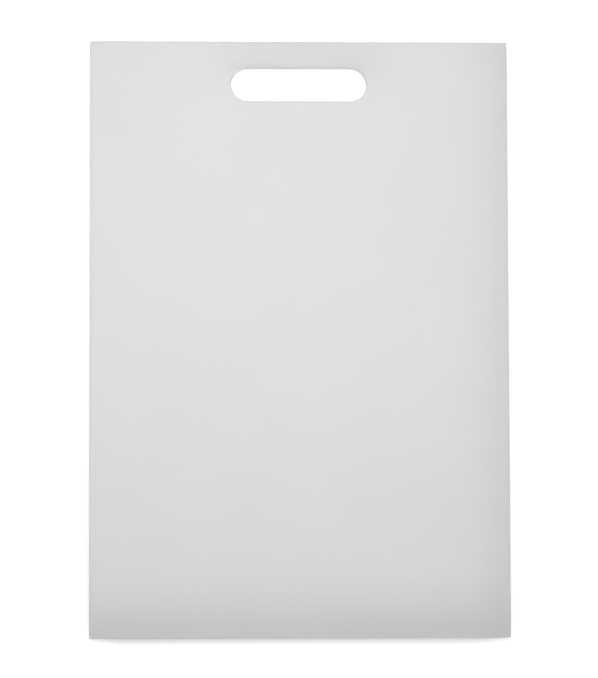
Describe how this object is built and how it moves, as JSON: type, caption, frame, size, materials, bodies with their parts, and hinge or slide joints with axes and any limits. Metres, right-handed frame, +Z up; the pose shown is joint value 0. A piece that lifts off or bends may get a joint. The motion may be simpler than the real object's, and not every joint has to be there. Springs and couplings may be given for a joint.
{
  "type": "cutting board",
  "caption": "Flat rectangular white plastic cutting board with a round-ended hand slot cut through near its short end, for preparing food and for carrying or hanging up.",
  "frame": {"origin": "middle of the underside, on the surface that the board lies on", "axes": "+Z up out of the cutting face, +Y along the length to the end with the hand slot, +X across the width"},
  "size_m": [0.2384, 0.34, 0.008],
  "materials": {
    "polyethylene": "satin white polyethylene sheet with a fine grain, faintly translucent at the edges"
  },
  "bodies": {
    "root": {"board": "polyethylene"}
  },
  "joints": []
}
